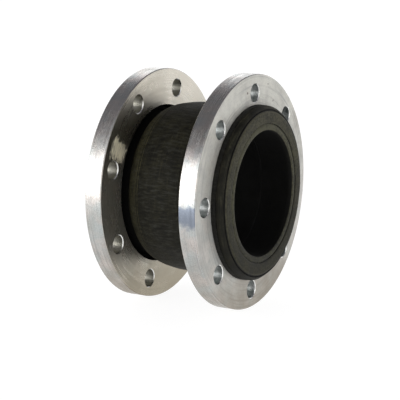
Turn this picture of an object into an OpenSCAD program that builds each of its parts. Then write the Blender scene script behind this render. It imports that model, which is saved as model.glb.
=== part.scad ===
// Rubber expansion joint, DN 150, with two loose steel flanges.
// The pipe axis is X and the joint's middle is the origin. +X is the front end.
// Every rubber and fabric piece is a ring: its outline is drawn as [radius, x] and turned about X.

/* [Flanges] */
// Outside diameter of each flange
flange_d = 285; // [280:1:300]
// Thickness of each flange
flange_t = 22; // [18:1:24]
// Gap between the two flanges' inner faces
flange_gap = 104; // [104:1:108]
// Diameter of the flange's bore, which the rubber neck passes through
flange_bore_d = 195; // [194:0.5:198]
// Chamfer on the two edges of the rim
rim_chamfer = 1; // [0.5:0.1:1.5]
// Chamfer on the outer edge of the bore, which seats the rubber bead
seat_chamfer = 3; // [2.5:0.1:3]
// Bolt circle diameter
bolt_circle_d = 240; // [238:1:244]
// Number of bolt holes in each flange
bolt_count = 8; // [8:4:12]
// Bolt hole diameter
bolt_hole_d = 22; // [18:1:23]
// Countersink that breaks the sharp edge of each bolt hole
hole_chamfer = 0.5; // [0.2:0.1:0.8]
// Angle of the front flange's first hole, from +Y towards +Z
front_hole_angle = 88.5; // [0:0.5:360]
// Angle of the rear flange's first hole, from +Y towards +Z
rear_hole_angle = 73.5; // [0:0.5:360]

/* [Rubber body] */
// Distance between the two sealing faces
face_to_face = 180; // [180:1:184]
// Outside radius of the neck inside the flange's bore
neck_r = 88; // [87:0.5:88.5]
// Rise of the crown's middle above the neck
arch_rise = 16; // [12:0.5:17]
// Fall of the gently curved crown from its middle to its shoulder
crown_fall = 3; // [1:0.5:4]
// Half width of the crown
crown_half = 25; // [20:1:30]
// Distance from the middle at which the shoulder meets the neck
neck_start = 47.5; // [45:0.5:49]
// Inside radius of the tube in its neck
tube_bore_r = 75; // [74:0.5:75]
// Inside radius of the tube's two mouths
mouth_r = 76; // [75.5:0.5:77]
// Bevel on the edge of each mouth
mouth_bevel = 1.5; // [0.5:0.1:2]
// Outside radius of the tube's lip in the sealing face
lip_r = 84; // [82:0.5:85]
// Depth of the tube's lip behind the sealing face
lip_step = 0.4; // [0.2:0.1:1]
// Wall thickness of the inner tube
tube_t = 4.5; // [4:0.1:4.6]
// Thickness of one nylon cord ply
ply_t = 0.9; // [0.7:0.1:0.9]
// Thickness of the middle rubber layer
middle_t = 1; // [0.8:0.1:1]

/* [Collars] */
// Radius of the collar at the flange's face
collar_r = 106; // [105.5:0.1:107]
// Radius of the sealing face's outer edge
face_r = 98.5; // [97:0.1:99]
// Roundness of the collar's shoulder, from 1 for a plain cone
shoulder_power = 1.7; // [1.2:0.1:2.5]
// Length along the collar that the fabric strip covers
strip_len = 5.7; // [4:0.1:6]
// Thickness of the fabric strip
strip_t = 1.2; // [0.8:0.1:1.2]

/* [Bead rings] */
// Diameter of one turn of bead wire
wire_d = 2.2; // [1.8:0.1:2.2]
// Turns of wire along and across the bundle
wire_turns = 3; // [2:1:3]
// Thickness of the fabric wrap on the wire bundle
wrap_t = 0.8; // [0.6:0.1:0.8]

/* [Hidden] */
$fn = 180;

// Gap at a bond between two layers, and between rubber and steel
bond = 0.1;
clearance = 0.3;

// Positions along the axis, measured from the middle
inner_face_x = flange_gap / 2;
outer_face_x = inner_face_x + flange_t;
seal_x = face_to_face / 2;
lip_x = seal_x - lip_step;
collar_base_x = outer_face_x + clearance;
flare_start = 60;
flare_end = 74;
wall_step = flare_end / 24;
cover_end = 22 * wall_step;
flare_rise = 6.5;

// The end of each ply turns outwards as a disc in front of the bead
disc_face_x = seal_x - 1.5;
disc_top_r = 99.7;
disc_back_x = disc_face_x + bond;

// Bead bundle, seen in section
wire_pitch = wire_d + bond;
bundle_w = wire_turns * wire_pitch;
wrap_w = bundle_w + 2 * wrap_t;
bead_x0 = 76;
bead_x = bead_x0 + wrap_w / 2;
bead_r0 = 91.3;
bead_r = bead_r0 + wrap_w / 2;
wrap_corner = 1.5;
wrap_bore_corner = 0.5;

// Depth of each layer's outer face below the cover's outer face, in the neck
tube_out = neck_r - tube_bore_r - tube_t;
ply_1_in = tube_out - bond;
ply_1_out = ply_1_in - ply_t;
ply_2_in = ply_1_out - bond;
ply_2_out = ply_2_in - ply_t;
middle_in = ply_2_out - bond;
middle_out = middle_in - middle_t;
ply_3_in = middle_out - bond;
ply_3_out = ply_3_in - ply_t;
ply_4_in = ply_3_out - bond;
ply_4_out = ply_4_in - ply_t;
cover_in = ply_4_out - bond;

steel = [0.72, 0.71, 0.69];
wire_steel = [0.62, 0.60, 0.55];
black_rubber = [0.10, 0.10, 0.09];
olive_rubber = [0.17, 0.17, 0.13];
cord = [0.62, 0.58, 0.48];
canvas = [0.26, 0.25, 0.21];

// Smooth step from 0 to 1
function ease(t) = let (u = max(0, min(1, t))) u * u * (3 - 2 * u);

// Fall of the shoulder below the crown's edge, where t = 0, down to the neck, where t = 1.
// It leaves the crown without a kink and steepens towards the neck.
function shoulder(t) =
    let (fall = 2 * crown_fall * (neck_start - crown_half) / crown_half)
    fall * t + (arch_rise - crown_fall - fall) * pow(t, 4);

// Rise of the wall above the neck at distance x from the middle
function arch(x) =
    abs(x) < crown_half ? arch_rise - crown_fall * pow(x / crown_half, 2)
    : abs(x) < neck_start ? arch_rise - crown_fall - shoulder((abs(x) - crown_half) / (neck_start - crown_half))
    : 0;

// Rise of the wall where it opens out over the bead
function flare(x) = flare_rise * ease((abs(x) - flare_start) / (flare_end - flare_start));

// Radius of the surface that lies at a depth below the cover's outer face
function wall_r(x, depth) = neck_r - depth + arch(x) + flare(x);

// Radius of the tube's bore, which opens only a little at its two mouths
function bore_r(x) = tube_bore_r + arch(x) + (mouth_r - tube_bore_r) * flare(x) / flare_rise;

// Distances along the axis at which a curved outline has its points, the same for every layer
function stations(reach) = [for (k = [-round(reach / wall_step):round(reach / wall_step)]) k * wall_step];

// A ring about the X axis, from its outline in [radius, x]
module ring(outline) {
    rotate([0, 90, 0]) rotate_extrude() polygon(outline);
}

// The same piece at the front end, or mirrored to the rear end
module at_end(front) {
    if (front) children();
    else mirror([1, 0, 0]) children();
}

// A layer that ends at a plain cut, between two depths
module plain_layer(inner_depth, outer_depth, reach) {
    xs = stations(reach);
    last = len(xs) - 1;
    ring(concat(
        [for (x = xs) [wall_r(x, outer_depth), x]],
        [for (k = [last:-1:0]) [wall_r(xs[k], inner_depth), xs[k]]]
    ));
}

// A ply that runs from bead to bead and turns outwards as a disc at each end
module cord_ply(inner_depth, outer_depth, disc_x) {
    xs = stations(flare_end);
    last = len(xs) - 1;
    back_x = disc_x - ply_t;
    ring(concat(
        [[disc_top_r, -disc_x], [disc_top_r, -back_x], [wall_r(flare_end, outer_depth), -back_x]],
        [for (x = xs) [wall_r(x, outer_depth), x]],
        [[wall_r(flare_end, outer_depth), back_x], [disc_top_r, back_x], [disc_top_r, disc_x]],
        [[wall_r(flare_end, inner_depth), disc_x]],
        [for (k = [last:-1:0]) [wall_r(xs[k], inner_depth), xs[k]]],
        [[wall_r(flare_end, inner_depth), -disc_x]]
    ));
}

// A square section with its four corners cut
function cut_square(w, corner) = let (h = w / 2, c = h - corner) [
    [bead_r - h, bead_x - c], [bead_r - c, bead_x - h], [bead_r + c, bead_x - h], [bead_r + h, bead_x - c],
    [bead_r + h, bead_x + c], [bead_r + c, bead_x + h], [bead_r - c, bead_x + h], [bead_r - h, bead_x + c]
];

module bolt_hole(angle) {
    rotate([angle, 0, 0]) translate([inner_face_x, bolt_circle_d / 2, 0]) rotate([0, 90, 0]) {
        translate([0, 0, -1]) cylinder(d = bolt_hole_d, h = flange_t + 2);
        translate([0, 0, -hole_chamfer])
            cylinder(d1 = bolt_hole_d + 4 * hole_chamfer, d2 = bolt_hole_d, h = 2 * hole_chamfer);
        translate([0, 0, flange_t - hole_chamfer])
            cylinder(d1 = bolt_hole_d, d2 = bolt_hole_d + 4 * hole_chamfer, h = 2 * hole_chamfer);
    }
}

// A flange at the front end, whose first hole is at an angle
module flange(first_angle) {
    bore_r = flange_bore_d / 2;
    rim_r = flange_d / 2;
    difference() {
        ring([
            [bore_r, inner_face_x],
            [rim_r - rim_chamfer, inner_face_x],
            [rim_r, inner_face_x + rim_chamfer],
            [rim_r, outer_face_x - rim_chamfer],
            [rim_r - rim_chamfer, outer_face_x],
            [bore_r + seat_chamfer, outer_face_x],
            [bore_r, outer_face_x - seat_chamfer]
        ]);
        for (k = [0:bolt_count - 1]) bolt_hole(first_angle + k * 360 / bolt_count);
    }
}

// Moulded rubber ring that makes the sealing face and covers the bead
module collar() {
    strip_x = collar_base_x + strip_len + bond;
    shoulder_x = strip_x + 1;
    shoulder_r = collar_r - 0.2;
    skin_r = collar_r - strip_t - bond;
    foot_x = collar_base_x + strip_t + bond;
    drop = shoulder_r - face_r;
    ring(concat(
        [[lip_r + bond, disc_back_x], [lip_r + bond, seal_x]],
        [for (k = [8:-1:0]) [
            shoulder_r - drop * pow(k / 8, shoulder_power),
            shoulder_x + (seal_x - shoulder_x) * k / 8
        ]],
        [[shoulder_r, strip_x], [skin_r, strip_x], [skin_r, foot_x]],
        [[disc_top_r + bond, foot_x], [disc_top_r + bond, disc_back_x]]
    ));
}

// Rubberised fabric strip round the collar's foot, where it bears on the flange
module chafer_strip() {
    seat_r = flange_bore_d / 2 - clearance;
    knee_x = outer_face_x - seat_chamfer;
    foot_r = seat_r + seat_chamfer;
    edge_x = collar_base_x + strip_len;
    cover_r = wall_r(cover_end, 0);
    ring([
        [cover_r, cover_end + bond],
        [seat_r, knee_x],
        [foot_r, collar_base_x],
        [collar_r, collar_base_x],
        [collar_r - 0.2, edge_x],
        [collar_r - strip_t, edge_x],
        [collar_r - strip_t, collar_base_x + strip_t],
        [foot_r - 0.5, collar_base_x + strip_t],
        [seat_r - 1, knee_x + 0.6],
        [cover_r - strip_t, cover_end + bond]
    ]);
}

// Hard rubber strip that fills the wedge between the plies and the bead
module bead_filler() {
    seat_r = flange_bore_d / 2 - clearance;
    knee_x = outer_face_x - seat_chamfer;
    start = cover_end + bond;
    end = bead_x0 - bond;
    ring(concat(
        [for (k = [0:6]) let (x = start + k * (end - start) / 6) [wall_r(x, cover_in), x]],
        [[disc_top_r, end], [disc_top_r - 0.2, collar_base_x + strip_t]],
        [[seat_r - 1.2, knee_x + 0.7], [wall_r(cover_end, 0) - strip_t - bond, start]]
    ));
}

// Fabric sleeve round the bundle of bead wire
module bead_wrap() {
    difference() {
        ring(cut_square(wrap_w, wrap_corner));
        ring(cut_square(bundle_w, wrap_bore_corner));
    }
}

// Turns of hard steel wire, side by side
module bead_wire() {
    middle = (wire_turns - 1) / 2;
    for (along = [0:wire_turns - 1])
        for (across = [0:wire_turns - 1])
            translate([bead_x + (along - middle) * wire_pitch, 0, 0])
                rotate([0, 90, 0]) rotate_extrude()
                    translate([bead_r + (across - middle) * wire_pitch, 0]) circle(d = wire_d, $fn = 32);
}

module rear_flange() { color(steel) at_end(false) flange(rear_hole_angle); }
module front_flange() { color(steel) at_end(true) flange(front_hole_angle); }

// One mouth of the tube at the front end: the lip in the sealing face, from its outside in
function mouth() = [
    [wall_r(flare_end, tube_out), disc_face_x],
    [lip_r, disc_face_x],
    [lip_r, lip_x],
    [mouth_r + mouth_bevel, lip_x],
    [mouth_r, lip_x - mouth_bevel]
];

// Seamless rubber tube that the water touches, with a thick lip at each mouth
module inner_tube() {
    xs = stations(flare_end);
    last = len(xs) - 1;
    lip = mouth();
    color(olive_rubber) ring(concat(
        [for (x = xs) [wall_r(x, tube_out), x]],
        lip,
        [for (k = [last:-1:0]) [bore_r(xs[k]), xs[k]]],
        [for (k = [len(lip) - 1:-1:0]) [lip[k][0], -lip[k][1]]]
    ));
}

// Four plies of nylon cord, from the tube outwards
module ply_1() { color(cord) cord_ply(ply_1_in, ply_1_out, disc_face_x); }
module ply_2() { color(cord) cord_ply(ply_2_in, ply_2_out, disc_face_x - ply_t - bond); }
module ply_3() { color(cord) cord_ply(ply_3_in, ply_3_out, disc_face_x - 2 * (ply_t + bond)); }
module ply_4() { color(cord) cord_ply(ply_4_in, ply_4_out, disc_face_x - 3 * (ply_t + bond)); }

// Rubber between the second and third plies, and seamless rubber cover
module middle_rubber() { color(black_rubber) plain_layer(middle_in, middle_out, flare_end); }
module outer_cover() { color(black_rubber) plain_layer(cover_in, 0, cover_end); }

module rear_collar() { color(olive_rubber) at_end(false) collar(); }
module front_collar() { color(olive_rubber) at_end(true) collar(); }
module rear_chafer_strip() { color(canvas) at_end(false) chafer_strip(); }
module front_chafer_strip() { color(canvas) at_end(true) chafer_strip(); }
module rear_bead_filler() { color(black_rubber) at_end(false) bead_filler(); }
module front_bead_filler() { color(black_rubber) at_end(true) bead_filler(); }
module rear_bead_wrap() { color(canvas) at_end(false) bead_wrap(); }
module front_bead_wrap() { color(canvas) at_end(true) bead_wrap(); }
module rear_bead_wire() { color(wire_steel) at_end(false) bead_wire(); }
module front_bead_wire() { color(wire_steel) at_end(true) bead_wire(); }

rear_flange();
front_flange();
inner_tube();
ply_1();
ply_2();
middle_rubber();
ply_3();
ply_4();
outer_cover();
rear_collar();
front_collar();
rear_chafer_strip();
front_chafer_strip();
rear_bead_filler();
front_bead_filler();
rear_bead_wrap();
front_bead_wrap();
rear_bead_wire();
front_bead_wire();
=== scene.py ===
"""Looks of a DN 150 rubber expansion joint: turned steel flanges, moulded rubber body, studio light.

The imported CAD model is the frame. The pipe axis is X, the front end is +X, and all lengths are metres.
"""

import math

import bmesh
import bpy
from mathutils import Matrix, Vector, noise


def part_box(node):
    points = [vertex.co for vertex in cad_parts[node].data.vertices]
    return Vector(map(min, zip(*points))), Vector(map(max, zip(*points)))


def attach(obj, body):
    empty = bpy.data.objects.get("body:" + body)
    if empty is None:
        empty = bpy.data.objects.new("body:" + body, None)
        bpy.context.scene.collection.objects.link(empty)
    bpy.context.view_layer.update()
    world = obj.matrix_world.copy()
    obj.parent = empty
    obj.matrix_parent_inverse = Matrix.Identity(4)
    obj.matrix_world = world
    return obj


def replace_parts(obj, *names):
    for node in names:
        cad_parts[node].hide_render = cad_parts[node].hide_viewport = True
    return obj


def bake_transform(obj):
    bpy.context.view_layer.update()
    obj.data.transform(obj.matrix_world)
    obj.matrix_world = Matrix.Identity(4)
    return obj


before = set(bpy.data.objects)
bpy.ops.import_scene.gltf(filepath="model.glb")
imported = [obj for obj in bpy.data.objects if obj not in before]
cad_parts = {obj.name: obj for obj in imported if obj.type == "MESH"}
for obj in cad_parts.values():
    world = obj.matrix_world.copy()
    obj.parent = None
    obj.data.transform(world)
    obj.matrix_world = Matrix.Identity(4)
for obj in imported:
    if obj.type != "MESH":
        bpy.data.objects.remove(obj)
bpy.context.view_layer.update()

MM = 0.001
AROUND = 256                     # segments of a ring about the pipe axis
MERGE = 1e-6                     # vertices closer than this are one point
RING_SHARP = math.radians(40)    # an edge steeper than this is drawn sharp on a ring
FLANGE_SHARP = math.radians(30)  # and on a drilled flange

# ---------------------------------------------------------------- sizes read from the frame
flange_low, flange_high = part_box("front_flange")
cover_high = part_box("outer_cover")[1]
collar_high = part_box("front_collar")[1]
strip_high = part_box("front_chafer_strip")[1]
tube_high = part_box("inner_tube")[1]

FLANGE_IN = flange_low.x
FLANGE_OUT = flange_high.x
RIM_R = flange_high.z
COVER_END = cover_high.x
CROWN_R = cover_high.z
SEAL_X = collar_high.x
COLLAR_R = collar_high.z
STRIP_BASE = FLANGE_OUT + 0.3 * MM
STRIP_TOP = strip_high.x
LIP_X = tube_high.x

# ---------------------------------------------------------------- the rubber wall's profile
NECK_R = CROWN_R - 16 * MM
CROWN_FALL = 3 * MM
CROWN_HALF = 25 * MM
NECK_START = 47.5 * MM
FLARE_START = 60 * MM
FLARE_END = 74 * MM
FLARE_RISE = 6.5 * MM
TUBE_BORE_R = 75 * MM
MOUTH_R = 76 * MM
LIP_R = 84 * MM
TUBE_OUT_R = 79.5 * MM
COVER_IN_DEPTH = 3.3 * MM

# the sealing ring's outer edge and the groove round it
FACE_EDGE_R = 98 * MM
GROOVE_R = 100.6 * MM

# where the wall's three zones meet, and where they end in the flanges
REAR_SEAM = -20 * MM
FRONT_SEAM = 22 * MM


def ease(t):
    """A smooth step from 0 to 1."""
    t = max(0.0, min(1.0, t))
    return t * t * (3 - 2 * t)


def arch(x):
    """Rise of the wall above the neck: a gently curved crown, then a shoulder that steepens to the neck."""
    x = abs(x)
    rise = CROWN_R - NECK_R
    if x < CROWN_HALF:
        return rise - CROWN_FALL * (x / CROWN_HALF) ** 2
    if x < NECK_START:
        t = (x - CROWN_HALF) / (NECK_START - CROWN_HALF)
        fall = 2 * CROWN_FALL * (NECK_START - CROWN_HALF) / CROWN_HALF
        return rise - CROWN_FALL - fall * t - (rise - CROWN_FALL - fall) * t**4
    return 0.0


def flare(x):
    """Share of the opening over the bead, from 0 in the neck to 1 at the bead."""
    return ease((abs(x) - FLARE_START) / (FLARE_END - FLARE_START))


def stations(low, high, step):
    """Evenly spaced positions from low to high."""
    count = max(1, round((high - low) / step))
    return [low + (high - low) * k / count for k in range(count + 1)]


# ---------------------------------------------------------------- mesh building
def ring(name, outline, wobble=None):
    """A closed ring about the X axis from its outline of (x, radius) points.

    wobble(x, r, angle) moves a point by (dx, dr)."""
    bm = bmesh.new()
    loops = []
    for k in range(AROUND):
        angle = 2 * math.pi * k / AROUND
        c, s = math.cos(angle), math.sin(angle)
        loop = []
        for x, r in outline:
            dx, dr = wobble(x, r, angle) if wobble else (0.0, 0.0)
            loop.append(bm.verts.new((x + dx, (r + dr) * c, (r + dr) * s)))
        loops.append(loop)
    count = len(outline)
    for k in range(AROUND):
        here, there = loops[k], loops[(k + 1) % AROUND]
        for j in range(count):
            i = (j + 1) % count
            bm.faces.new((here[j], here[i], there[i], there[j]))
    bmesh.ops.recalc_face_normals(bm, faces=bm.faces)
    for face in bm.faces:
        face.smooth = True
    for edge in bm.edges:
        edge.smooth = edge.calc_face_angle(0) < RING_SHARP
    mesh = bpy.data.meshes.new(name)
    bm.to_mesh(mesh)
    bm.free()
    piece = bpy.data.objects.new(name, mesh)
    bpy.context.scene.collection.objects.link(piece)
    return piece


def keep_rest(piece):
    """Stores each point's place at rest, so that a texture stays on the rubber when it bends."""
    rest = piece.data.attributes.new("rest", "FLOAT_VECTOR", "POINT")
    rest.data.foreach_set("vector", [c for v in piece.data.vertices for c in v.co])


def mirrored(outline):
    """The front end's outline turned into the rear end's."""
    return [(-x, r) for x, r in outline]


# ---------------------------------------------------------------- materials
class Shader:
    """A node material with short calls for the nodes used here."""

    def __init__(self, name):
        self.material = bpy.data.materials.new(name)
        self.material.use_nodes = True
        self.tree = self.material.node_tree
        self.bsdf = self.tree.nodes["Principled BSDF"]

    def node(self, kind, inputs=None, **settings):
        n = self.tree.nodes.new(kind)
        for key, value in settings.items():
            setattr(n, key, value)
        for key, value in (inputs or {}).items():
            if isinstance(value, bpy.types.NodeSocket):
                self.tree.links.new(value, n.inputs[key])
            else:
                n.inputs[key].default_value = value
        return n

    def math(self, operation, a, b=0.0, c=0.0, clamp=False):
        n = self.node("ShaderNodeMath", {0: a, 1: b, 2: c}, operation=operation, use_clamp=clamp)
        return n.outputs[0]

    def ramp(self, value, low, high, out_low=0.0, out_high=1.0):
        return self.node(
            "ShaderNodeMapRange",
            {"Value": value, "From Min": low, "From Max": high, "To Min": out_low, "To Max": out_high},
            interpolation_type="SMOOTHSTEP",
        ).outputs["Result"]

    def band(self, value, centre, half, soft):
        """1 within half of centre, falling to 0 over soft."""
        away = self.math("ABSOLUTE", self.math("SUBTRACT", value, centre))
        return self.ramp(away, half, half + soft, 1.0, 0.0)

    def mix(self, share, a, b):
        n = self.node("ShaderNodeMix", data_type="RGBA")
        for key, value in ((0, share), (6, a), (7, b)):
            if isinstance(value, bpy.types.NodeSocket):
                self.tree.links.new(value, n.inputs[key])
            else:
                n.inputs[key].default_value = value if key == 0 else (*value, 1.0)
        return n.outputs[2]

    def place(self, rest):
        """The point in the row frame, from the rest attribute or from the object itself."""
        if rest:
            return self.node("ShaderNodeAttribute", attribute_name="rest").outputs["Vector"]
        return self.node("ShaderNodeTexCoord").outputs["Object"]

    def lathe(self, point):
        """x, radius and the unit direction round the axis."""
        parts = self.node("ShaderNodeSeparateXYZ", {0: point}).outputs
        flat = self.node("ShaderNodeCombineXYZ", {1: parts[1], 2: parts[2]}).outputs[0]
        radius = self.node("ShaderNodeVectorMath", {0: flat}, operation="LENGTH").outputs["Value"]
        turn = self.node("ShaderNodeVectorMath", {0: flat}, operation="NORMALIZE").outputs[0]
        return parts[0], radius, turn

    def noise(self, point, scale, detail=3.0, rough=0.55):
        return self.node(
            "ShaderNodeTexNoise", {"Vector": point, "Scale": scale, "Detail": detail, "Roughness": rough}
        ).outputs["Fac"]

    def turned(self, x, radius, turn, across, around, detail=2.0):
        """Noise drawn out round the axis, with across lines per metre and around changes per turn."""
        spread = self.node("ShaderNodeVectorMath", {0: turn, "Scale": around}, operation="SCALE").outputs[0]
        step = self.math("MULTIPLY", radius, across)
        point = self.node(
            "ShaderNodeVectorMath",
            {0: spread, 1: self.node("ShaderNodeCombineXYZ", {0: step}).outputs[0]},
            operation="ADD",
        ).outputs[0]
        return self.node(
            "ShaderNodeTexNoise",
            {"Vector": point, "W": self.math("MULTIPLY", x, across), "Scale": 1.0, "Detail": detail},
            noise_dimensions="4D",
        ).outputs["Fac"]

    def dashes(self, x, turn):
        """Short strokes along the axis, left by the cloth wound round the rubber."""
        spread = self.node("ShaderNodeVectorMath", {0: turn, "Scale": 42.0}, operation="SCALE").outputs[0]
        along = self.node("ShaderNodeCombineXYZ", {0: self.math("MULTIPLY", x, 90.0)}).outputs[0]
        point = self.node("ShaderNodeVectorMath", {0: spread, 1: along}, operation="ADD").outputs[0]
        return self.noise(point, 1.0, 3.0, 0.6)

    def weave(self, x, turn, threads=300.0, pitch=0.0021):
        """A plain weave pressed into the surface: threads round the axis and along it."""
        parts = self.node("ShaderNodeSeparateXYZ", {0: turn}).outputs
        angle = self.math("ARCTAN2", parts[2], parts[1])
        along = self.math("SINE", self.math("MULTIPLY", x, 2 * math.pi / pitch))
        around = self.math("SINE", self.math("MULTIPLY", angle, threads))
        return self.math("MULTIPLY", along, around)

    def bump(self, heights, distance, strength=1.0):
        """Bump from several (height, weight) pairs."""
        total = None
        for height, weight in heights:
            part = self.math("MULTIPLY", height, weight)
            total = part if total is None else self.math("ADD", total, part)
        normal = self.node("ShaderNodeBump", {"Height": total, "Distance": distance, "Strength": strength})
        self.tree.links.new(normal.outputs[0], self.bsdf.inputs["Normal"])

    def colour(self, socket):
        self.tree.links.new(socket, self.bsdf.inputs["Base Color"])

    def rough(self, socket):
        self.tree.links.new(socket, self.bsdf.inputs["Roughness"])

    def set(self, **values):
        for key, value in values.items():
            self.bsdf.inputs[key.replace("_", " ")].default_value = value


# middle of the painted reflection, a pale gold patch, on the rear flange's inner face, in degrees and
# metres
REFLECTION_PATCH_ANGLE = 151.6
REFLECTION_PATCH_RADIUS = 117 * MM

# pits in the front flange's outer face, each (radius, angle in degrees, size)
PITS = [(122.9 * MM, 97.5, 1.9 * MM), (117.1 * MM, 64.1, 1.5 * MM), (132.6 * MM, 73.7, 1.3 * MM)]


def flange_steel():
    """Turned, zinc-plated steel: lines round the axis, soft stains, pits and a stretched reflection."""
    s = Shader("turned_zinc_steel")
    point = s.place(True)
    x, radius, turn = s.lathe(point)
    z = s.node("ShaderNodeSeparateXYZ", {0: point}).outputs[2]
    away = s.math("ABSOLUTE", x)
    lines = s.turned(x, radius, turn, 1500, 2.0)
    streaks = s.turned(x, radius, turn, 420, 1.6, 3.0)
    patch_edge_noise = s.turned(x, radius, turn, 900, 14.0)
    blotch = s.noise(point, 34, 4, 0.6)
    tint = s.noise(point, 55, 3, 0.5)
    stain = s.ramp(s.noise(point, 11, 5, 0.65), 0.5, 0.72)
    grain = s.noise(point, 600, 3, 0.65)
    pits = front_pits(s, point)
    inner_face = s.ramp(away, FLANGE_IN + 0.1 * MM, FLANGE_IN + 0.4 * MM, 1.0, 0.0)
    outer_face = s.ramp(away, FLANGE_OUT - 0.4 * MM, FLANGE_OUT - 0.1 * MM)

    tone = s.mix(s.ramp(tint, 0.35, 0.65), (0.440, 0.466, 0.458), (0.540, 0.500, 0.472))
    # painted light: the outer face is painted paler towards the top, where it catches more light
    bright = s.math("MULTIPLY", outer_face, s.ramp(z, -60 * MM, 90 * MM, 0.4, 0.9))
    tone = s.mix(bright, tone, (0.590, 0.582, 0.522))
    tone = s.mix(s.ramp(blotch, 0.35, 0.7, 0.0, 0.6), tone, (0.330, 0.320, 0.300))
    tone = s.mix(s.math("MULTIPLY", stain, 0.45), tone, (0.300, 0.270, 0.215))
    tone = s.mix(s.ramp(streaks, 0.50, 0.68, 0.0, 0.45), tone, (0.250, 0.248, 0.250))
    tone = s.mix(s.ramp(lines, 0.50, 0.70, 0.0, 0.45), tone, (0.620, 0.615, 0.600))
    tone = s.mix(s.ramp(grain, 0.50, 0.70, 0.0, 0.30), tone, (0.220, 0.215, 0.205))
    # painted shade: the steel is painted darker and browner towards the bottom, more on the rear flange,
    # standing for the dim, warm reflection near the floor and between the flanges
    low_painted_shade = s.math("MULTIPLY", s.ramp(z, -0.140, -0.045, 1.0, 0.0), s.ramp(blotch, 0.2, 0.7, 0.45, 0.90))
    low_painted_shade = s.math("MULTIPLY", low_painted_shade, s.ramp(x, -0.05, 0.05, 1.0, 0.6))
    tone = s.mix(low_painted_shade, tone, (0.250, 0.205, 0.140))
    # painted shade: a stronger darkening at the very bottom, mostly on the rear flange
    foot = s.math("MULTIPLY", s.ramp(z, -0.140, -0.090, 0.75, 0.0), s.ramp(x, -0.05, 0.0, 1.0, 0.3))
    tone = s.mix(foot, tone, (0.170, 0.130, 0.080))
    # painted reflection: a bluish band on the front flange's rim
    tone = s.mix(painted_rim_reflection(s, point, x, radius, blotch), tone, (0.200, 0.225, 0.270))
    tone = s.mix(s.math("MULTIPLY", inner_face, 0.5), tone, (0.520, 0.480, 0.380))
    # painted light: the flanges' inner faces are painted paler towards the top
    inner_top_painted_light = s.math("MULTIPLY", inner_face, s.ramp(z, 70 * MM, 115 * MM, 0.0, 0.65))
    tone = s.mix(inner_top_painted_light, tone, (0.700, 0.660, 0.580))
    tone = s.mix(s.math("MULTIPLY", pits, 0.85), tone, (0.09, 0.06, 0.05))
    gloss = s.math("ADD", s.ramp(blotch, 0.25, 0.75, 0.18, 0.28), s.ramp(streaks, 0.35, 0.65, -0.03, 0.05))
    gloss = s.math("ADD", gloss, s.math("MULTIPLY", inner_face, 0.06))
    gloss = s.math("ADD", gloss, s.math("MULTIPLY", outer_face, 0.18))
    metal = s.math("SUBTRACT", 1.0, s.math("MULTIPLY", inner_face, s.ramp(z, 10 * MM, 70 * MM, 0.13, 0.03)))
    metal = s.math("SUBTRACT", metal, s.math("MULTIPLY", outer_face, 0.72))

    # painted reflection: a pale gold patch on the rear flange's inner face, not metallic
    reflection_patch_share = painted_reflection_patch(s, point, x, radius, turn, patch_edge_noise, lines)
    tone = s.mix(reflection_patch_share, tone, (0.95, 0.87, 0.62))
    metal = s.math("MULTIPLY", metal, s.math("SUBTRACT", 1.0, reflection_patch_share))
    s.tree.links.new(metal, s.bsdf.inputs["Metallic"])
    s.colour(tone)
    s.rough(gloss)
    s.bump([(lines, 1.0), (streaks, 0.8), (grain, 0.7), (pits, -1.5)], 0.00014)
    tangent = s.node("ShaderNodeTangent", direction_type="RADIAL", axis="X")
    s.tree.links.new(tangent.outputs[0], s.bsdf.inputs["Tangent"])
    s.set(Anisotropic=0.8)
    return s.material


def front_pits(s, point):
    """Share of the small pits in the front flange's outer face."""
    total = 0.0
    for at_r, at_angle, size in PITS:
        a = math.radians(at_angle)
        spot = (FLANGE_OUT, at_r * math.cos(a), at_r * math.sin(a))
        away = s.node("ShaderNodeVectorMath", {0: point, 1: spot}, operation="DISTANCE").outputs["Value"]
        total = s.math("ADD", total, s.ramp(away, size * 0.6, size, 1.0, 0.0), clamp=True)
    return total


def painted_rim_reflection(s, point, x, radius, blotch):
    """Share of the painted reflection on the front flange's rim: a bluish band on its near side, just below
    the window's highlight.
    """
    parts = s.node("ShaderNodeSeparateXYZ", {0: point}).outputs
    rim = s.math("MULTIPLY", s.ramp(radius, RIM_R - 1 * MM, RIM_R - 0.5 * MM), s.ramp(x, 0.0, FLANGE_IN))
    near = s.math("MULTIPLY", rim, s.ramp(parts[1], -60 * MM, 0.0, 1.0, 0.0))
    height = s.math("ADD", parts[2], s.ramp(blotch, 0.2, 0.8, -9 * MM, 9 * MM))
    return s.math("MULTIPLY", near, s.band(height, -8 * MM, 8 * MM, 9 * MM))


def painted_reflection_patch(s, point, x, radius, turn, patch_edge_noise, lines):
    """Share of the painted reflection on the rear flange's inner face: a pale gold, not metallic patch with
    ragged, streaky edges.
    """
    parts = s.node("ShaderNodeSeparateXYZ", {0: turn}).outputs
    angle = s.math("ARCTAN2", parts[2], parts[1])
    edge = s.math("MULTIPLY", s.math("SUBTRACT", s.noise(point, 240, 3, 0.6), 0.5), 0.12)
    at, half, soft = math.radians(REFLECTION_PATCH_ANGLE), math.radians(3.0), math.radians(6.0)
    lengthways = s.band(s.math("ADD", angle, edge), at, half, soft)
    across = s.band(s.math("ADD", radius, s.math("MULTIPLY", edge, 0.05)), REFLECTION_PATCH_RADIUS, 10 * MM, 11 * MM)
    rear = s.band(x, -FLANGE_IN, 0.1 * MM, 0.2 * MM)
    mask = s.math("MULTIPLY", lengthways, across)
    ragged = s.math("ADD", mask, s.ramp(patch_edge_noise, 0.3, 0.7, -0.45, 0.35))
    ragged = s.math("MULTIPLY", s.ramp(ragged, 0.25, 0.95, 0.0, 0.95), s.ramp(lines, 0.35, 0.60, 1.0, 0.6))
    return s.math("MULTIPLY", ragged, rear)


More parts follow.
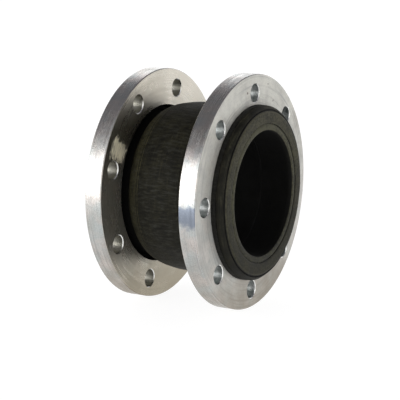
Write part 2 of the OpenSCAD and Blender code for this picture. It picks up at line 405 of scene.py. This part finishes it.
def drilled_steel():
    """Hole walls: rougher and darker than the faces, with feed marks from the drill."""
    s = Shader("drilled_steel")
    point = s.place(True)
    x = s.lathe(point)[0]
    stretched = s.node("ShaderNodeMapping", {"Vector": point, "Scale": (1100.0, 60.0, 60.0)}).outputs[0]
    feed = s.noise(stretched, 1.0, 2)
    blotch = s.noise(point, 130, 4, 0.6)
    tone = s.mix(s.ramp(blotch, 0.3, 0.7), (0.24, 0.27, 0.265), (0.52, 0.54, 0.54))
    tone = s.mix(s.ramp(feed, 0.45, 0.7, 0.0, 0.5), tone, (0.60, 0.61, 0.60))
    # the hole walls are darker and browner on the rear flange
    tone = s.mix(s.ramp(x, -10 * MM, 10 * MM, 0.65, 0.1), tone, (0.200, 0.175, 0.122))
    s.colour(tone)
    s.rough(s.ramp(blotch, 0.3, 0.7, 0.36, 0.52))
    s.bump([(feed, 1.0), (blotch, 0.5)], 0.0002)
    s.set(Metallic=1.0)
    return s.material


def chamfer_steel():
    """The cut edges of the holes, bright where the tool went round."""
    s = Shader("chamfer_steel")
    point = s.place(True)
    wear = s.noise(point, 260, 3, 0.6)
    s.colour(s.mix(s.ramp(wear, 0.35, 0.6), (0.60, 0.60, 0.57), (0.90, 0.90, 0.88)))
    s.rough(s.ramp(wear, 0.3, 0.7, 0.22, 0.34))
    s.bump([(wear, 1.0)], 0.0001)
    s.set(Metallic=1.0)
    return s.material


BLACK = (0.002, 0.002, 0.002)


def rubber(
    name, base, dust, dust_share, roughness, shine, zones, cloth=0.0, dull_shade=None, creases=(), rest=True
):
    """Moulded rubber: a dusty bloom, fine wrap lines round the axis and a pebbled skin.

    zones lists (low x, high x, low radius, high radius, share) where more dust clings; a narrow zone along
    an edge is also a painted highlight.
    cloth is the depth of a woven imprint.
    dull_shade is (low x, high x, sense): painted shade, the rubber turns black and rougher from low to
    high, or from high to low.
    creases lists (low x, high x, radius, half width) of the grooves, painted black as shade.
    rest is off for a CAD node, which never bends."""
    s = Shader(name)
    point = s.place(rest)
    x, radius, turn = s.lathe(point)
    z = s.node("ShaderNodeSeparateXYZ", {0: point}).outputs[2]
    away = s.math("ABSOLUTE", x)
    lines = s.turned(x, radius, turn, 700, 4.0, 3.0)
    wide = s.turned(x, radius, turn, 140, 2.0, 2.0)
    grain = s.noise(point, 800, 3, 0.6)
    bloom = s.noise(point, 45, 5, 0.65)
    patch = s.ramp(bloom, 0.35, 0.7)
    share = s.math("MULTIPLY", patch, dust_share)
    share = s.math("ADD", share, s.math("MULTIPLY", s.ramp(lines, 0.5, 0.75), dust_share), clamp=True)
    for low, high, low_r, high_r, amount in zones:
        across = s.band(away, (low + high) / 2, (high - low) / 2, 3 * MM)
        within = s.band(radius, (low_r + high_r) / 2, (high_r - low_r) / 2, 0.8 * MM)
        uneven = s.ramp(bloom, 0.25, 0.75, 0.45 * amount, 1.3 * amount)
        spot = s.math("MULTIPLY", across, within)
        share = s.math("ADD", share, s.math("MULTIPLY", spot, uneven), clamp=True)
    speck = s.ramp(s.noise(point, 420, 2, 0.6), 0.35, 0.7, 0.55, 1.5)
    share = s.math("MULTIPLY", share, speck, clamp=True)
    # the rubber is made lighter towards the top and darker towards the bottom
    share = s.math("MULTIPLY", share, s.ramp(z, -90 * MM, 90 * MM, 0.6, 1.5), clamp=True)
    tone = s.mix(share, base, dust)
    if cloth:
        dashes = s.dashes(x, turn)
        tone = s.mix(s.ramp(dashes, 0.50, 0.68, 0.0, 0.50), tone, (0.034, 0.034, 0.029))
        tone = s.mix(s.ramp(dashes, 0.32, 0.50, 0.60, 0.0), tone, BLACK)
    # painted shade: the grooves are painted black
    for low, high, crease_r, half in creases:
        across = s.band(away, (low + high) / 2, (high - low) / 2, 0.5 * MM)
        within = s.band(radius, crease_r, half, half)
        groove = s.math("MULTIPLY", across, within)
        tone = s.mix(s.math("MULTIPLY", groove, 0.85), tone, BLACK)
    gloss = s.ramp(bloom, 0.2, 0.8, roughness - 0.08, roughness + 0.1)
    if dull_shade:
        # painted shade: the rubber is painted near black where it lies out of the light
        low, high, sense = dull_shade
        shade_share = s.ramp(away, low, high, *((0.0, 1.0) if sense > 0 else (1.0, 0.0)))
        tone = s.mix(shade_share, tone, (0.0015, 0.0015, 0.0012))
        gloss = s.math("ADD", gloss, s.math("MULTIPLY", shade_share, 0.3), clamp=True)
    s.colour(tone)
    s.rough(gloss)
    heights = [(lines, 0.6), (wide, 0.6), (grain, 0.35)]
    if cloth:
        heights += [(s.weave(x, turn), cloth), (dashes, 1.0)]
    s.bump(heights, 0.0005, 0.6)
    s.set(Metallic=0.0, Specular_IOR_Level=shine)
    return s.material


def cord_fabric(name, base, groove, lean):
    """Rubberised tyre cord: parallel cords laid on the bias."""
    s = Shader(name)
    point = s.place(True)
    x, _, turn = s.lathe(point)
    parts = s.node("ShaderNodeSeparateXYZ", {0: turn}).outputs
    angle = s.math("ARCTAN2", parts[2], parts[1])
    phase = s.math("ADD", s.math("MULTIPLY", angle, 180.0), s.math("MULTIPLY", x, lean * 2200.0))
    wave = s.math("SINE", phase)
    fuzz = s.noise(point, 300, 3)
    s.colour(s.mix(s.ramp(wave, -0.6, 0.6), groove, base))
    s.rough(s.ramp(fuzz, 0.3, 0.7, 0.7, 0.85))
    s.bump([(wave, 0.5), (fuzz, 0.5)], 0.0003)
    s.set(Specular_IOR_Level=0.3)
    return s.material


def wire_steel():
    """Drawn steel wire with a brass tint."""
    s = Shader("brassed_bead_wire")
    point = s.place(False)
    drawn = s.noise(point, 400, 2)
    s.colour(s.mix(s.ramp(drawn, 0.3, 0.7), (0.45, 0.38, 0.24), (0.60, 0.54, 0.40)))
    s.rough(s.ramp(drawn, 0.3, 0.7, 0.3, 0.45))
    s.bump([(drawn, 1.0)], 0.0001)
    s.set(Metallic=1.0)
    return s.material


STEEL = flange_steel()
DRILLED = drilled_steel()
CHAMFER = chamfer_steel()
COVER = rubber(
    "moulded_cover_rubber", (0.0090, 0.0086, 0.0060), (0.050, 0.046, 0.024), 0.17, 0.6, 0.09,
    [(28 * MM, 44 * MM, 85 * MM, 110 * MM, 0.45)],
    cloth=0.5,
    # painted shade: the cover turns black towards the neck, in the gap by the flange
    dull_shade=(44 * MM, 50 * MM, 1),
    # painted shade in the grooves between the ridges at the crown's edges
    creases=[(26.6 * MM, 27.2 * MM, 100 * MM, 20 * MM), (30.0 * MM, 30.4 * MM, 100 * MM, 20 * MM)],
)
COLLAR = rubber(
    "moulded_collar_rubber", (0.0070, 0.0068, 0.0048), (0.056, 0.053, 0.034), 0.26, 0.62, 0.11,
    # the second zone, a thin pale line along the sealing ring's outer edge, is partly dust and partly a
    # painted highlight
    [(88 * MM, 92 * MM, 84 * MM, 99 * MM, 0.44), (88 * MM, 92 * MM, 97.4 * MM, 98.2 * MM, 0.6)],
    # painted shade in the groove round the sealing ring and at the lip's edge
    creases=[
        (86 * MM, 89.5 * MM, GROOVE_R - 0.4 * MM, 0.7 * MM),
        (86 * MM, 91 * MM, LIP_R + 0.1 * MM, 0.35 * MM),
    ],
)
TUBE = rubber(
    "moulded_tube_rubber", (0.0025, 0.0025, 0.002), (0.060, 0.058, 0.035), 0.05, 0.62, 0.14,
    [(87 * MM, 92 * MM, 77 * MM, 85 * MM, 0.75)],
    # painted shade: the tube turns black down into the bore
    dull_shade=(82 * MM, 88 * MM, -1),
)
CORE_TONES = (0.01, 0.01, 0.01), (0.03, 0.03, 0.025)
HIDDEN_RUBBER = rubber("core_rubber", *CORE_TONES, 0.3, 0.7, 0.2, [])
HARD_RUBBER = rubber("filler_rubber", *CORE_TONES, 0.3, 0.7, 0.2, [], rest=False)
CORD_TONES = (0.50, 0.44, 0.33), (0.06, 0.055, 0.05)
PLY_RIGHT = cord_fabric("nylon_cord_right", *CORD_TONES, 1.0)
PLY_LEFT = cord_fabric("nylon_cord_left", *CORD_TONES, -1.0)
CANVAS = rubber(
    "bead_canvas", (0.007, 0.007, 0.006), (0.040, 0.038, 0.026), 0.22, 0.66, 0.2, [],
    cloth=2.5,
    rest=False,
)
WIRE = wire_steel()


def dress(piece, material, slot):
    """Gives a new piece its material and keeps its place at rest; slot is not used."""
    keep_rest(piece)
    piece.data.materials.clear()
    piece.data.materials.append(material)
    return piece


def recoat(node, material):
    """Gives a CAD node that keeps its shape a better material."""
    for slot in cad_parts[node].material_slots:
        slot.material = material


# ---------------------------------------------------------------- steel flanges
HOLES = 8
HOLE_R = 11 * MM
HOLE_STEPS = 64
HOLE_SINK = 0.8 * MM    # depth of the chamfer at each end of a hole
OVERSHOOT = 1 * MM      # how far a drill stands out of the flange
RIM_BEVEL = 1 * MM
BOLT_CIRCLE_R = 120 * MM
FLANGE_BORE_R = 97.5 * MM
FIRST_HOLE = {"rear": 73.5, "front": 88.5}


def surface_of(face):
    """Material of a flange's face: 0 for what is turned, 1 for a hole's wall, 2 for a hole's chamfer."""
    centre = face.calc_center_median()
    slope = abs(face.normal.x)
    if abs(math.hypot(centre.y, centre.z) - BOLT_CIRCLE_R) > HOLE_R + 1 * MM or slope > 0.9:
        return 0
    return 1 if slope < 0.3 else 2


def flange_outline():
    """Front flange in section, from the bore round the inner face, the rim and the outer face."""
    corner_in = [(FLANGE_IN, RIM_R - RIM_BEVEL), (FLANGE_IN + RIM_BEVEL, RIM_R)]
    corner_out = [(FLANGE_OUT - RIM_BEVEL, RIM_R), (FLANGE_OUT, RIM_R - RIM_BEVEL)]
    inner = [(FLANGE_IN + 0.4 * MM, FLANGE_BORE_R), (FLANGE_IN, FLANGE_BORE_R + 0.4 * MM)]
    inner += [(FLANGE_IN, RIM_R - RIM_BEVEL - 0.6 * MM)]
    outer = [(FLANGE_OUT, RIM_R - RIM_BEVEL - 0.6 * MM), (FLANGE_OUT, FLANGE_BORE_R + 3 * MM)]
    return inner + corner_in + corner_out + outer + [(FLANGE_OUT - 3 * MM, FLANGE_BORE_R)]


def hole_cutter(name, turned_to):
    """Eight drills with countersunk ends, as one mesh."""
    bm = bmesh.new()
    mouth_r = HOLE_R + HOLE_SINK + OVERSHOOT
    profile = [(FLANGE_IN - OVERSHOOT, mouth_r), (FLANGE_IN + HOLE_SINK, HOLE_R)]
    profile += [(FLANGE_OUT - HOLE_SINK, HOLE_R), (FLANGE_OUT + OVERSHOOT, mouth_r)]
    turns = [2 * math.pi * j / HOLE_STEPS for j in range(HOLE_STEPS)]
    for k in range(HOLES):
        a = math.radians(turned_to + 360 * k / HOLES)
        cy, cz = BOLT_CIRCLE_R * math.cos(a), BOLT_CIRCLE_R * math.sin(a)
        loops = []
        for x, r in profile:
            loops.append([bm.verts.new((x, cy + r * math.cos(t), cz + r * math.sin(t))) for t in turns])
        for one, two in zip(loops, loops[1:]):
            for j in range(HOLE_STEPS):
                i = (j + 1) % HOLE_STEPS
                bm.faces.new((one[j], one[i], two[i], two[j]))
        bm.faces.new(loops[0])
        bm.faces.new(loops[-1])
    bmesh.ops.recalc_face_normals(bm, faces=bm.faces)
    mesh = bpy.data.meshes.new(name)
    bm.to_mesh(mesh)
    bm.free()
    cutter = bpy.data.objects.new(name, mesh)
    bpy.context.scene.collection.objects.link(cutter)
    return cutter


def drilled(blank, cutter, name):
    """The blank with the cutter taken out of it, smooth where it is round and sharp at its edges."""
    cut = blank.modifiers.new("holes", "BOOLEAN")
    cut.operation, cut.solver, cut.object = "DIFFERENCE", "EXACT", cutter
    graph = bpy.context.evaluated_depsgraph_get()
    mesh = bpy.data.meshes.new_from_object(blank.evaluated_get(graph))
    mesh.name = name
    for thing in (blank, cutter):
        bpy.data.objects.remove(thing)
    bm = bmesh.new()
    bm.from_mesh(mesh)
    bmesh.ops.remove_doubles(bm, verts=bm.verts, dist=MERGE)
    for face in bm.faces:
        face.smooth = True
        face.material_index = surface_of(face)
    for edge in bm.edges:
        edge.smooth = edge.calc_face_angle(0) < FLANGE_SHARP
    bm.to_mesh(mesh)
    bm.free()
    piece = bpy.data.objects.new(name, mesh)
    bpy.context.scene.collection.objects.link(piece)
    return piece


def flange_piece(side, turn):
    """One drilled flange. turn puts the front flange's outline on the flange's own side."""
    blank = ring(side + "_blank", turn(flange_outline()))
    cutter = hole_cutter(side + "_drills", FIRST_HOLE[side])
    if side == "rear":
        cutter.data.transform(Matrix.Diagonal((-1, 1, 1, 1)))
        cutter.data.flip_normals()
    piece = drilled(blank, cutter, side + "_flange_turned")
    surfaces = [f.material_index for f in piece.data.polygons]
    dress(piece, STEEL, "flange_steel")
    piece.data.materials.append(DRILLED)
    piece.data.materials.append(CHAMFER)
    piece.data.polygons.foreach_set("material_index", surfaces)
    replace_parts(piece, side + "_flange")
    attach(piece, side + "_flange")


flange_piece("rear", mirrored)
flange_piece("front", list)


# ---------------------------------------------------------------- the rubber wall, in three zones
ZONES = [
    ("rear", REAR_SEAM, ("rear_end", "inner_carcass"), (-FLANGE_IN, REAR_SEAM)),
    ("middle", FRONT_SEAM, ("inner_carcass", "outer_carcass"), (REAR_SEAM, FRONT_SEAM)),
    ("front", None, ("outer_carcass", "front_end"), (FRONT_SEAM, FLANGE_IN)),
]


def bend(piece, bodies, span):
    """Bakes the piece's transform into its mesh; bodies and span are not used."""
    low, high = span
    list(bodies)
    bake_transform(piece)


# ridges round the cover at the crown's edges, each (distance from the middle, height), in millimetres
RIDGES = ((25.5, 0.45), (28.5, 0.25), (31.0, 0.2))


def cover_skin(x, r, angle):
    """Slight unevenness of the moulded cover, with the fine ridges left by the wrapping."""
    place = Vector((x * 30, math.cos(angle) * 3.0, math.sin(angle) * 3.0))
    uneven = noise.noise(place) * 0.35 * MM
    fade = 1.0 if r > NECK_R - 1 * MM else 0.0
    ridge = 0.0
    for at, height in RIDGES:
        ridge += height * MM * math.exp(-(((abs(x) - at * MM) / (0.7 * MM)) ** 2))
    return 0.0, (uneven + ridge) * fade


def cover_piece(zone, low, high):
    """The cover's stretch. Its inner side needs only every fourth station, and the last one."""
    outer = [(x, NECK_R + arch(x) + FLARE_RISE * flare(x)) for x in stations(low, high, 1 * MM)]
    sparse = outer[::4]
    if sparse[-1] != outer[-1]:
        sparse.append(outer[-1])
    inner = [(x, r - COVER_IN_DEPTH) for x, r in reversed(sparse)]
    return ring("outer_cover_" + zone, outer + inner, wobble=cover_skin)


def tube_piece(zone, low, high):
    """The inner tube's stretch, with its lip where the zone reaches an end."""
    widening = MOUTH_R - TUBE_BORE_R
    bore_xs, back_xs = stations(low, high, 2 * MM), reversed(stations(low, high, 3 * MM))
    bore = [(x, TUBE_BORE_R + arch(x) + widening * flare(x)) for x in bore_xs]
    back = [(x, TUBE_OUT_R + arch(x) + FLARE_RISE * flare(x)) for x in back_xs]
    lip = [(LIP_X - 1.8 * MM, MOUTH_R), (LIP_X - 0.6 * MM, MOUTH_R + 0.5 * MM), (LIP_X, MOUTH_R + 1.8 * MM)]
    lip += [(LIP_X, LIP_R - 2 * MM), (LIP_X - 0.4 * MM, LIP_R - 0.8 * MM), (LIP_X - 1.1 * MM, LIP_R)]
    if zone == "rear":
        back = back + mirrored(reversed(lip))
    if zone == "front":
        bore = bore + lip
    return ring("inner_tube_" + zone, bore + back)


def cut_layer(node, zone, low, high):
    """One zone of a hidden layer, cut from its CAD node and closed with flat rings."""
    bm = bmesh.new()
    bm.from_mesh(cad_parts[node].data)
    bmesh.ops.remove_doubles(bm, verts=bm.verts, dist=MERGE)
    for x, normal in ((low, -1), (high, 1)):
        if x is None:
            continue
        everything = bm.verts[:] + bm.edges[:] + bm.faces[:]
        cut = bmesh.ops.bisect_plane(
            bm, geom=everything, plane_co=(x, 0, 0), plane_no=(normal, 0, 0), clear_outer=True
        )
        rim = [e for e in cut["geom_cut"] if isinstance(e, bmesh.types.BMEdge)]
        bmesh.ops.bridge_loops(bm, edges=rim)
    bmesh.ops.recalc_face_normals(bm, faces=bm.faces)
    mesh = bpy.data.meshes.new(node + "_" + zone)
    bm.to_mesh(mesh)
    bm.free()
    piece = bpy.data.objects.new(node + "_" + zone, mesh)
    bpy.context.scene.collection.objects.link(piece)
    return piece


HIDDEN_LAYERS = [
    ("ply_1", PLY_RIGHT, "nylon_cord"),
    ("ply_2", PLY_LEFT, "nylon_cord"),
    ("middle_rubber", HIDDEN_RUBBER, "middle_rubber"),
    ("ply_3", PLY_RIGHT, "nylon_cord"),
    ("ply_4", PLY_LEFT, "nylon_cord"),
]

low = None
for zone, high, bodies, span in ZONES:
    cover = cover_piece(zone, low or -COVER_END, high or COVER_END)
    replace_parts(dress(cover, COVER, "cover_rubber"), "outer_cover")
    bend(cover, bodies, span)
    tube = tube_piece(zone, low or -FLARE_END, high or FLARE_END)
    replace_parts(dress(tube, TUBE, "tube_rubber"), "inner_tube")
    bend(tube, bodies, span)
    for node, material, slot in HIDDEN_LAYERS:
        layer = cut_layer(node, zone, low, high)
        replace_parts(dress(layer, material, slot), node)
        bend(layer, bodies, span)
    low = high


# ---------------------------------------------------------------- collars
def collar_skin(x, r, angle):
    """Slight unevenness of the moulded collar."""
    place = Vector((x * 60, math.cos(angle) * 4.0, math.sin(angle) * 4.0))
    return noise.noise(place) * 0.25 * MM, noise.noise(place + Vector((7, 3, 1))) * 0.35 * MM


FOOT_R = 99.8 * MM      # inner radius of the collar's skin at its foot
SHOULDER_STEPS = 10
SHOULDER_END = 0.82     # share of the collar's height that the shoulder's curve covers


def collar_outline():
    """Front collar in section: sealing ring, groove at its outer edge, rounded shoulder, side, foot."""
    inner_r = LIP_R + 0.1 * MM
    top_x = STRIP_TOP + 0.1 * MM
    side_r = COLLAR_R - 0.2 * MM
    skin_r = COLLAR_R - 1.3 * MM
    foot_x = STRIP_BASE + 1.3 * MM
    disc_x = SEAL_X - 1.4 * MM
    face = [(disc_x, inner_r), (SEAL_X - 1.1 * MM, inner_r), (SEAL_X - 0.3 * MM, inner_r + 0.8 * MM)]
    face += [(SEAL_X, r) for r in stations(inner_r + 1.8 * MM, FACE_EDGE_R - 0.5 * MM, 3 * MM)]
    face += [(SEAL_X - 0.3 * MM, FACE_EDGE_R), (SEAL_X - 1.0 * MM, FACE_EDGE_R + 0.7 * MM)]
    face += [(SEAL_X - 1.1 * MM, GROOVE_R - 0.7 * MM), (SEAL_X - 2.3 * MM, GROOVE_R - 0.3 * MM)]
    face += [(SEAL_X - 2.4 * MM, GROOVE_R + 0.1 * MM)]
    shoulder = []
    for k in range(SHOULDER_STEPS, -1, -1):
        t = SHOULDER_END * k / SHOULDER_STEPS
        fall = (side_r - FACE_EDGE_R - 0.6 * MM) * t**2.6
        shoulder.append((top_x + 1 * MM + (SEAL_X - top_x - 1 * MM) * t, side_r - fall))
    foot = [(top_x + 0.3 * MM, side_r - 0.1 * MM), (top_x, side_r - 0.5 * MM)]
    foot += [(top_x, skin_r), (foot_x, skin_r), (foot_x, FOOT_R), (disc_x, FOOT_R)]
    return face + shoulder + foot


for side, turn in (("rear", mirrored), ("front", list)):
    body = side + "_end"
    collar = ring(side + "_collar_skin", turn(collar_outline()), wobble=collar_skin)
    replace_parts(dress(collar, COLLAR, "collar_rubber"), side + "_collar")
    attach(collar, body)
    recoat(side + "_chafer_strip", CANVAS)
    recoat(side + "_bead_filler", HARD_RUBBER)
    recoat(side + "_bead_wrap", CANVAS)
    recoat(side + "_bead_wire", WIRE)


# ---------------------------------------------------------------- floor, light and camera
def floor_material():
    """Plain white, lit a little from itself so that it stays as pale as the backdrop."""
    s = Shader("white_floor")
    point = s.place(False)
    s.colour(s.mix(s.ramp(s.noise(point, 3, 2), 0.3, 0.7), (0.19, 0.19, 0.19), (0.21, 0.21, 0.21)))
    s.set(Roughness=0.8, Specular_IOR_Level=0.2, Emission_Color=(1, 1, 1, 1), Emission_Strength=0.9)
    return s.material


def plane(name, size, z):
    """A level square."""
    mesh = bpy.data.meshes.new(name)
    h = size / 2
    mesh.from_pydata([(-h, -h, z), (h, -h, z), (h, h, z), (-h, h, z)], [], [(0, 1, 2, 3)])
    thing = bpy.data.objects.new(name, mesh)
    bpy.context.scene.collection.objects.link(thing)
    return thing


FLOOR_SIZE = 40
floor = plane("floor", FLOOR_SIZE, flange_low.z)
floor.data.materials.append(floor_material())


def towards(azimuth, elevation):
    """Unit direction from the joint. Azimuth 0 is in front, at -Y, and elevation is above the floor."""
    a, e = math.radians(azimuth), math.radians(elevation)
    return Vector((math.sin(a) * math.cos(e), -math.cos(a) * math.cos(e), math.sin(e)))


def softbox(name, azimuth, elevation, distance, width, height, power):
    """A rectangular light in a direction from the joint, aimed at it."""
    back = towards(azimuth, elevation)
    data = bpy.data.lights.new(name, "AREA")
    data.shape = "RECTANGLE"
    data.size, data.size_y = width, height
    data.energy = power
    light = bpy.data.objects.new(name, data)
    light.location = back * distance
    light.rotation_euler = back.to_track_quat("Z", "Y").to_euler()
    bpy.context.scene.collection.objects.link(light)


softbox("window_left", -29, 10, 3.0, 2.4, 1.75, 46)
softbox("window_back", -147, 30, 3.0, 1.8, 1.0, 6)


def studio_world():
    """A pale backdrop round the horizon under a grey ceiling. Stops are at sines of the elevation."""
    world = bpy.data.worlds.new("studio")
    world.use_nodes = True
    tree = world.node_tree
    direction = tree.nodes.new("ShaderNodeTexCoord")
    parts = tree.nodes.new("ShaderNodeSeparateXYZ")
    ramp = tree.nodes.new("ShaderNodeValToRGB")
    tree.links.new(direction.outputs["Generated"], parts.inputs[0])
    tree.links.new(parts.outputs[2], ramp.inputs[0])
    stops = ramp.color_ramp.elements
    stops[0].position, stops[0].color = 0.34, (1.5, 1.5, 1.5, 1)
    stops[1].position, stops[1].color = 0.46, (0.50, 0.50, 0.52, 1)
    stops.new(0.62).color = (0.24, 0.235, 0.26, 1)
    stops.new(0.85).color = (0.17, 0.165, 0.18, 1)
    stops.new(1.0).color = (0.30, 0.30, 0.30, 1)
    tree.links.new(ramp.outputs[0], tree.nodes["Background"].inputs[0])
    tree.nodes["Background"].inputs[1].default_value = 1.0
    bpy.context.scene.world = world


studio_world()

CAMERA_AZ, CAMERA_EL = 29.36, 11.27
CAMERA_DISTANCE = 1.768
CAMERA_LENS = 129.4
CAMERA_SHIFT = (0.001, -0.034)
data = bpy.data.cameras.new("camera")
data.sensor_width = 36
data.lens = CAMERA_LENS
data.shift_x, data.shift_y = CAMERA_SHIFT
data.clip_start = 0.01
camera = bpy.data.objects.new("camera", data)
back = towards(CAMERA_AZ, CAMERA_EL)
camera.location = back * CAMERA_DISTANCE
camera.rotation_euler = back.to_track_quat("Z", "Y").to_euler()
bpy.context.scene.collection.objects.link(camera)
bpy.context.scene.camera = camera
bpy.context.scene.view_settings.view_transform = "Standard"
